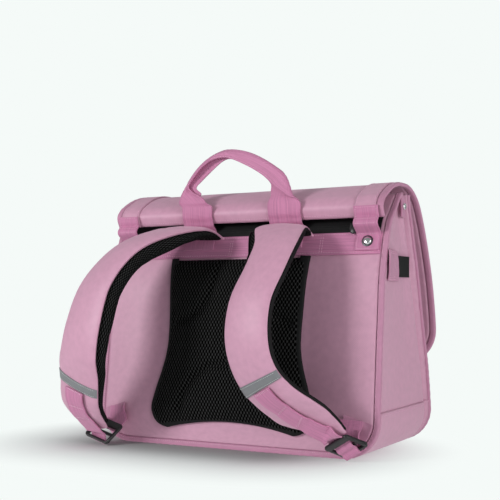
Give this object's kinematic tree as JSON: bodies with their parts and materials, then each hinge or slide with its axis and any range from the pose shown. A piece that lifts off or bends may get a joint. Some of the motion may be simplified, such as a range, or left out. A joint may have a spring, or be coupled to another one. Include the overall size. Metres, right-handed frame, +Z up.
{
  "type": "school satchel rucksack",
  "caption": "Box-shaped cloth school satchel worn on the back, with a wrap-over flap, carrying handle, back pad and padded shoulder straps.",
  "frame": {"origin": "on the floor, at the middle of the base that the bag stands on", "axes": "+X to the right as seen from the strap side, which is the wearer's left, -Y out of the strap side towards the wearer, +Y towards the closed front of the flap, +Z up"},
  "size_m": [0.39, 0.3041, 0.3621],
  "materials": {
    "pink_cloth": "woven nylon with a soft sheen",
    "pink_tape": "ribbed webbing and tape",
    "black_mesh": "open air mesh",
    "black_tape": "tight woven tape",
    "black_plastic": "moulded",
    "grey_reflector": "reflective tape",
    "chrome_metal": "polished"
  },
  "bodies": {
    "root": {"back_panel": "pink_cloth", "front_panel": "pink_cloth", "base_panel": "pink_cloth", "gusset_left": "pink_cloth", "gusset_right": "pink_cloth", "flap": "pink_cloth", "flap_band_left": "pink_cloth", "flap_band_right": "pink_cloth", "strap_cover_left": "pink_cloth", "strap_cover_right": "pink_cloth", "anchor_wing_left": "pink_cloth", "anchor_wing_right": "pink_cloth", "back_binding": "pink_tape", "front_binding": "pink_tape", "flap_binding": "pink_tape", "yoke_webbing": "pink_tape", "corner_tab_left": "pink_tape", "corner_tab_right": "pink_tape", "handle": "pink_tape", "strap_webbing_left": "pink_tape", "strap_webbing_right": "pink_tape", "anchor_webbing_left": "pink_tape", "anchor_webbing_right": "pink_tape", "gusset_loop_left": "pink_tape", "gusset_loop_right": "pink_tape", "gusset_tab_left": "pink_tape", "gusset_tab_right": "pink_tape", "back_pad": "black_mesh", "strap_pad_left": "black_mesh", "strap_pad_right": "black_mesh", "zip_tape": "black_tape", "gusset_elastic_left": "black_tape", "gusset_elastic_right": "black_tape", "zip_slider": "black_plastic", "buckle_left": "black_plastic", "buckle_right": "black_plastic", "front_clasp": "black_plastic", "reflector_left": "grey_reflector", "reflector_right": "grey_reflector", "rivet_left": "chrome_metal", "rivet_right": "chrome_metal", "snap_left": "chrome_metal", "snap_right": "chrome_metal"}
  },
  "joints": []
}
